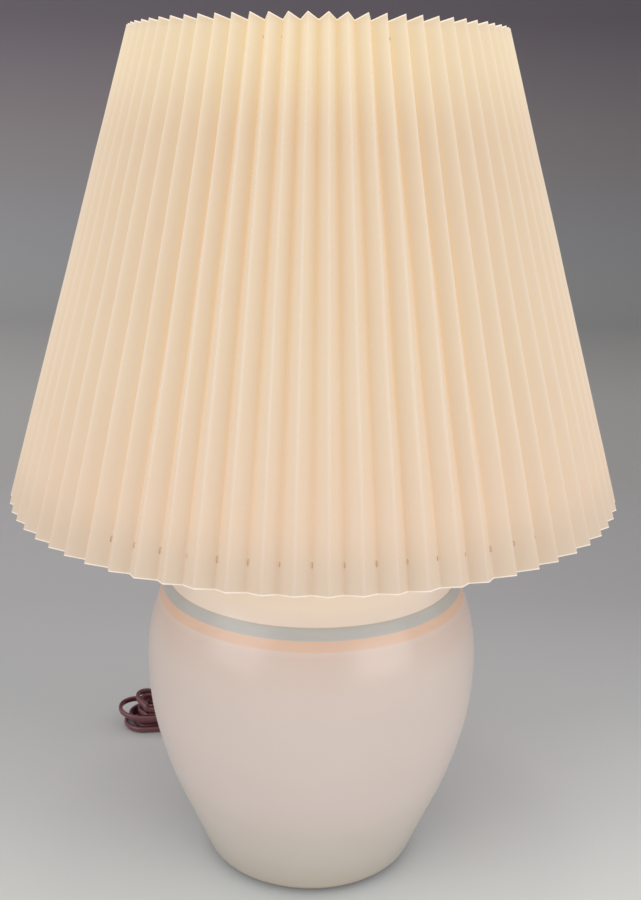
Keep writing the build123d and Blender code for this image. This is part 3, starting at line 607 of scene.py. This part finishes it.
bm = bmesh.new()
thread_band(
    bm, stud_pitch, disc_high + 0.0008, stud_top - 0.0008, stud_radius, stud_radius - 0.0004, 24,
)
shank = [
    (0.0, disc_low - 0.0013), (0.0017, disc_low - 0.0013), (0.002, disc_low - 0.001), (0.002, disc_low),
    (0.0068, disc_low), (0.007, disc_low + 0.0002), (0.007, disc_high - 0.0003), (0.0067, disc_high),
    (stud_radius - 0.0003, disc_high), (stud_radius - 0.0003, disc_high + 0.0008),
]
tip = [(stud_radius - 0.0002, stud_top - 0.0008), (stud_radius - 0.0009, stud_top), (0.0, stud_top)]
turned(bm, shank)
turned(bm, tip)
stud = finish_mesh(bm, "threaded_stud", "stud")
wear(stud, brass)
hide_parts("harp_stud")


# ------------------------------------------------------------------ shade cloth
# One long strip of stiffened cream cloth, pressed into seventy narrow accordion pleats and
# drawn in round the top. Its panels keep one width, so the folds are deep at the top and open
# out towards the hem. The cut edges are left raw.
# Its colour carries painted light: a glow in place of the bulb's light shining through, lighter ridges
# as a painted highlight, and painted shade near the hem.
pleats = 70
panel = 0.013
cloth_thickness = 0.0005
hem_radius = 0.2185
hem_height = 0.298
rim_radius = 0.1267
rim_height = 0.6135
slope = (hem_radius - rim_radius) / (rim_height - hem_height)
slant = math.hypot(hem_radius - rim_radius, rim_height - hem_height)
fold_bend = 0.0006
hem_swing = 0.005
rim_swing = 0.003


def pleat_edge(bm, radius, height, swing, chance):
    """A ring of folds, outer and inner by turns, each a little off its true place."""
    ring = bmesh.ops.create_circle(bm, segments=2 * pleats, radius=radius)["verts"]
    depth = math.sqrt(panel**2 - (math.pi * radius / pleats) ** 2)
    for index, vert in enumerate(ring):
        inwards = depth * (index % 2) + chance.uniform(0.0, 0.0005)
        reach = radius - inwards
        angle = math.pi * index / pleats + chance.uniform(-swing, swing)
        vert.co = (reach * math.cos(angle), reach * math.sin(angle), height - inwards * slope)
    return ring


def make_pleats():
    """Both edges of the strip, the panels between them and their places on the flat strip."""
    chance = random.Random(4)
    bm = bmesh.new()
    hem = pleat_edge(bm, hem_radius - 0.0003, hem_height, hem_swing, chance)
    rim = pleat_edge(bm, rim_radius, rim_height, rim_swing, chance)
    column = {vert: index for ring in (hem, rim) for index, vert in enumerate(ring)}
    share = {vert: up for up, ring in enumerate((hem, rim)) for vert in ring}
    bmesh.ops.bridge_loops(bm, edges=bm.edges[:])
    flat = bm.loops.layers.uv.new("strip")
    for face in bm.faces:
        closing = max(column[v] for v in face.verts) == 2 * pleats - 1
        for loop in face.loops:
            place = column[loop.vert]
            if closing and place == 0:
                place = 2 * pleats
            loop[flat].uv = (place * panel, share[loop.vert] * slant)
    folds = [e for e in bm.edges if share[e.verts[0]] != share[e.verts[1]]]
    bmesh.ops.subdivide_edges(bm, edges=folds, cuts=15, use_grid_fill=True)
    return bm


def is_fold(edge):
    return len(edge.link_faces) == 2 and edge.calc_face_angle() > 0.6


bm = make_pleats()
for vert in bm.verts:
    up = (vert.co.z - hem_height) / (rim_height - hem_height)
    free = math.sin(math.pi * min(max(up, 0.0), 1.0))
    drift = noise.noise(vert.co * 14.0) * 0.0009 + noise.noise(vert.co * 42.0) * 0.0003
    vert.co += Vector((vert.co.x, vert.co.y, 0.0)).normalized() * drift * free
bmesh.ops.recalc_face_normals(bm, faces=bm.faces)
bmesh.ops.bevel(
    bm, geom=[e for e in bm.edges if is_fold(e)], offset=fold_bend, offset_type="OFFSET",
    segments=2, profile=0.5, affect="EDGES", material=-1,
)
shade_mesh = bpy.data.meshes.new("shade_pleats")
bm.to_mesh(shade_mesh)
bm.free()
shade = bpy.data.objects.new("shade_pleats", shade_mesh)
stage.collection.objects.link(shade)
wall = shade.modifiers.new("thickness", "SOLIDIFY")
wall.thickness = cloth_thickness
wall.offset = -1.0

pleated = Finish("pleated_cloth", Roughness=0.9, Emission_Strength=1.0)
strip = pleated.node("UVMap", uv_map="strip")
across = pleated.node("SeparateXYZ", {0: strip}, out="X")
along = pleated.node("SeparateXYZ", {0: strip}, out="Y")
fold = pleated.node("Math", {0: across / panel, 1: 1.0}, operation="PINGPONG")
height = pleated.axis("Z")
# Painted highlight: the outer ridges are lighter, more so above the lower part, in both the cloth's
# colour and its glow.
painted_ridge_highlight = pleated.step(fold, 0.22, 0.02) * (pleated.step(height, 0.29, 0.40) * 0.6 + 0.4)
valley = pleated.step(fold, 0.55, 1.0)
cut = pleated.step(along, slant - 0.001, slant - 0.0005) + pleated.step(along, 0.001, 0.0005)
patchy = pleated.noise(16.0, 3.0)
body = pleated.mix((0.416, 0.372, 0.319, 1), (0.389, 0.341, 0.283, 1), patchy)
body = pleated.mix(body, (0.438, 0.398, 0.352, 1), painted_ridge_highlight)
pleated.send("Base Color", pleated.mix(body, (0.66, 0.635, 0.60, 1), cut))
# The cloth's emission is painted light standing in for the bulb's light shining through it: more orange
# in the valleys, pinker low down, yellower near the top, and darkened near the hem by painted shade.
glow = pleated.mix((0.420, 0.303, 0.19, 1), (0.455, 0.302, 0.162, 1), valley)
glow = pleated.mix(glow, (0.412, 0.312, 0.212, 1), painted_ridge_highlight)
painted_low_glow = pleated.mix((0.400, 0.266, 0.175, 1), (0.430, 0.268, 0.160, 1), valley)
glow = pleated.mix(glow, painted_low_glow, pleated.step(height, 0.44, 0.30) * 0.85)
painted_top_glow = pleated.mix((0.500, 0.395, 0.245, 1), (0.525, 0.395, 0.215, 1), valley)
painted_top_glow_mask = pleated.step(height, 0.54, 0.60) * pleated.step(height, 0.614, 0.606)
glow = pleated.mix(glow, painted_top_glow, painted_top_glow_mask)
painted_hem_shade = pleated.step(height, 0.338, 0.300)
pleated.send("Emission Color", pleated.mix(glow, (0.305, 0.215, 0.145, 1), painted_hem_shade * 0.85))
threads = {"Vector": strip, "Scale": 620.0}
warp = pleated.node("TexWave", threads, bands_direction="X")
weft = pleated.node("TexWave", threads, bands_direction="Y")
pleated.bump(warp * 0.5 + weft * 0.5 + pleated.noise(260.0, 3.0) * 0.6, 0.00006)
wear(shade, pleated)
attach(shade, "shade")
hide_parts("shade_cloth")


# ------------------------------------------------------------------ shade frame
# Two rings of white-enamelled wire stand inside the pleats. A brass-plated spider, a pierced
# washer with three bent wires, is soldered to the top one and drops over the harp's stud.
enamel = Finish("white_enamel", Roughness=0.4)
runs = enamel.noise(120.0, 4.0)
enamel.send("Base Color", enamel.mix((0.80, 0.77, 0.70, 1), (0.72, 0.68, 0.60, 1), runs))
enamel.send("Roughness", runs * 0.2 + 0.3)
enamel.bump(runs, 0.00006)
for name in ("shade_top_ring", "shade_bottom_ring"):
    wear(node[name], enamel)
for name in ("spider_hub", "spider_arms"):
    wear(node[name], plated)


def blob(bm, place, size):
    """A drop of solder, a little flattened."""
    drop = bmesh.ops.create_uvsphere(bm, u_segments=14, v_segments=9, radius=size)["verts"]
    bmesh.ops.scale(bm, verts=drop, vec=(1.15, 1.15, 0.8))
    bmesh.ops.translate(bm, verts=drop, vec=place)


def ring_line(name):
    """The radius and height of a ring's centre line."""
    low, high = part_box(name)
    middle = (low[2] + high[2]) / 2
    return high[0] - (high[2] - low[2]) / 2, middle


top_reach, top_level = ring_line("shade_top_ring")
hem_reach, hem_level = ring_line("shade_bottom_ring")
joints = ((top_reach - 0.0016, top_level, 0.0021), (0.0128, 0.5944, 0.002))
bm = bmesh.new()
for arm in (90, 210, 330):
    turn = math.radians(arm)
    for reach, level_there, size in joints:
        blob(bm, (reach * math.cos(turn), reach * math.sin(turn), level_there), size)
solder_drops = finish_mesh(bm, "solder_drops", "shade", 60)
wear(solder_drops, solder)


# ------------------------------------------------------------------ shade stitches
# Tan thread ties every inner fold to the rings: one loop through the cloth and round the wire
# at each fold.
thread_radius = 0.0003
loop_reach = 0.0028
loop_rise = 0.0023
loop_shift = 0.0008
tan_thread = Finish("tan_thread", Roughness=0.85)
ply = tan_thread.noise(2500.0, 3.0)
tan_thread.send("Base Color", tan_thread.mix((0.55, 0.37, 0.22, 1), (0.66, 0.47, 0.30, 1), ply))


def stitches(name, reach, level_there):
    """A loop of thread at every inner fold, round the ring there."""
    bm = bmesh.new()
    eye = bmesh.ops.create_circle(bm, segments=6, radius=thread_radius)["verts"]
    bmesh.ops.translate(bm, verts=eye, vec=(loop_reach, 0, 0))
    bmesh.ops.spin(
        bm, geom=eye + bm.edges[:], cent=(0, 0, 0), axis=(0, 1, 0), dvec=(0, 0, 0),
        angle=math.tau, steps=12, use_merge=True, use_duplicate=False,
    )
    bmesh.ops.scale(bm, verts=bm.verts, vec=(1, 1, loop_rise / loop_reach))
    bmesh.ops.translate(bm, verts=bm.verts, vec=(reach + loop_shift, 0, level_there))
    first = bm.verts[:] + bm.edges[:] + bm.faces[:]
    for index in range(1, pleats):
        copy = bmesh.ops.duplicate(bm, geom=first)["geom"]
        loop = [g for g in copy if isinstance(g, bmesh.types.BMVert)]
        turn = Matrix.Rotation(math.tau * index / pleats, 3, "Z")
        bmesh.ops.rotate(bm, verts=loop, cent=(0, 0, 0), matrix=turn)
    half = Matrix.Rotation(math.pi / pleats, 3, "Z")
    bmesh.ops.rotate(bm, verts=bm.verts, cent=(0, 0, 0), matrix=half)
    made = finish_mesh(bm, name, "shade", 60)
    wear(made, tan_thread)


stitches("hem_stitches", hem_reach, hem_level)
stitches("top_stitches", top_reach, top_level)


# ------------------------------------------------------------------ finial
# A turned and polished brass knob with a threaded insert screws down on the stud and holds the
# shade on the harp.
polished = metal("polished_brass", (0.82, 0.60, 0.28, 1), (0.70, 0.48, 0.20, 1), 0.22)
wear(node["finial_cap"], polished)


# ------------------------------------------------------------------ floor and light
# The lamp stands on a wide sweep of plain grey paper, in a soft studio light from in front and
# all round. The paper's colour carries painted light: lighter near the front and darker towards
# the back, shaded side to side, and darkened by painted shade in front, under the lamps.
paper_half = 12.0
paper_flat = 14.5
sweep_bend = 1.0
paper_start = -0.2
paper_run = 5.4
painted_falloff_stops = (
    (0.02, (0.76, 0.79, 0.79)), (0.045, (0.65, 0.67, 0.69)), (0.075, (0.55, 0.565, 0.58)),
    (0.125, (0.47, 0.46, 0.475)), (0.215, (0.42, 0.41, 0.405)), (0.32, (0.43, 0.42, 0.405)),
    (0.64, (0.285, 0.285, 0.295)), (0.82, (0.22, 0.197, 0.205)), (0.89, (0.18, 0.158, 0.175)),
    (0.94, (0.142, 0.122, 0.144)),
)
bm = bmesh.new()
near = [bm.verts.new((x, -paper_half, 0.0)) for x in (-paper_half, paper_half)]
bm.edges.new(near)


def pulled(edges, way):
    """Draw the paper on from its last edge, and return the new last edge."""
    drawn = bmesh.ops.extrude_edge_only(bm, edges=edges)["geom"]
    ends = [part for part in drawn if isinstance(part, bmesh.types.BMVert)]
    bmesh.ops.translate(bm, verts=ends, vec=way)
    sides = [part for part in drawn if isinstance(part, bmesh.types.BMEdge)]
    return [edge for edge in sides if set(edge.verts) <= set(ends)]


back_edge = pulled(bm.edges[:], (0, paper_flat, 0))
bent = bmesh.ops.spin(
    bm, geom=back_edge, cent=(0.0, paper_flat - paper_half, sweep_bend), axis=(1.0, 0.0, 0.0),
    angle=math.radians(90), steps=24, use_merge=False, use_duplicate=False,
)["geom_last"]
pulled([part for part in bent if isinstance(part, bmesh.types.BMEdge)], (0, 0, 3.0))
bmesh.ops.recalc_face_normals(bm, faces=bm.faces)
sweep_mesh = bpy.data.meshes.new("paper_sweep")
bm.to_mesh(sweep_mesh)
bm.free()
sweep_mesh.shade_smooth()
sweep = bpy.data.objects.new("paper_sweep", sweep_mesh)
stage.collection.objects.link(sweep)

paper = Finish("paper", Roughness=0.95)
# Painted falloff and shade on the paper: darker towards the back, side-to-side shading, and darker in
# front under the lamps.
along_sweep = paper.axis("Y") + paper.axis("Z") * 1.5
ramp = paper.node("ValToRGB", {0: (along_sweep - paper_start) / paper_run}, stops=painted_falloff_stops)
near_by = paper.step(along_sweep, 0.6, 0.0)
sideways = paper.node("Clamp", {"Value": paper.axis("X"), "Min": -1.1, "Max": 1.1})
painted_shade_under_lamps = paper.step(paper.axis("Y"), -0.35, -1.6)
painted_floor_shading = (0.93 + sideways * (near_by * 0.4 - 0.17)) * (1.0 - painted_shade_under_lamps * 0.45)
paper.send("Base Color", paper.node("VectorMath", {0: ramp, 3: painted_floor_shading}, operation="SCALE"))
sweep.data.materials.append(paper.material)

studio = bpy.data.worlds.new("studio")
stage.world = studio
studio.use_nodes = True
surround = studio.node_tree.nodes["Background"]
surround.inputs["Color"].default_value = (1.0, 1.0, 1.0, 1)
surround.inputs["Strength"].default_value = 0.84


def soft_box(name, place, width, tall, power):
    """A large soft light, turned towards the middle of the lamp."""
    light = bpy.data.lights.new(name, "AREA")
    light.shape = "RECTANGLE"
    light.size = width
    light.size_y = tall
    light.energy = power
    made = bpy.data.objects.new(name, light)
    stage.collection.objects.link(made)
    aim = Vector((0, 0, 0.3)) - Vector(place)
    facing = aim.to_track_quat("-Z", "Y").to_matrix().to_4x4()
    made.matrix_world = Matrix.Translation(place) @ facing


soft_box("key_light", (-3.2, -2.5, 1.4), 3.0, 2.4, 46.0)
soft_box("fill_light", (3.1, -2.6, 0.9), 3.0, 1.6, 41.0)
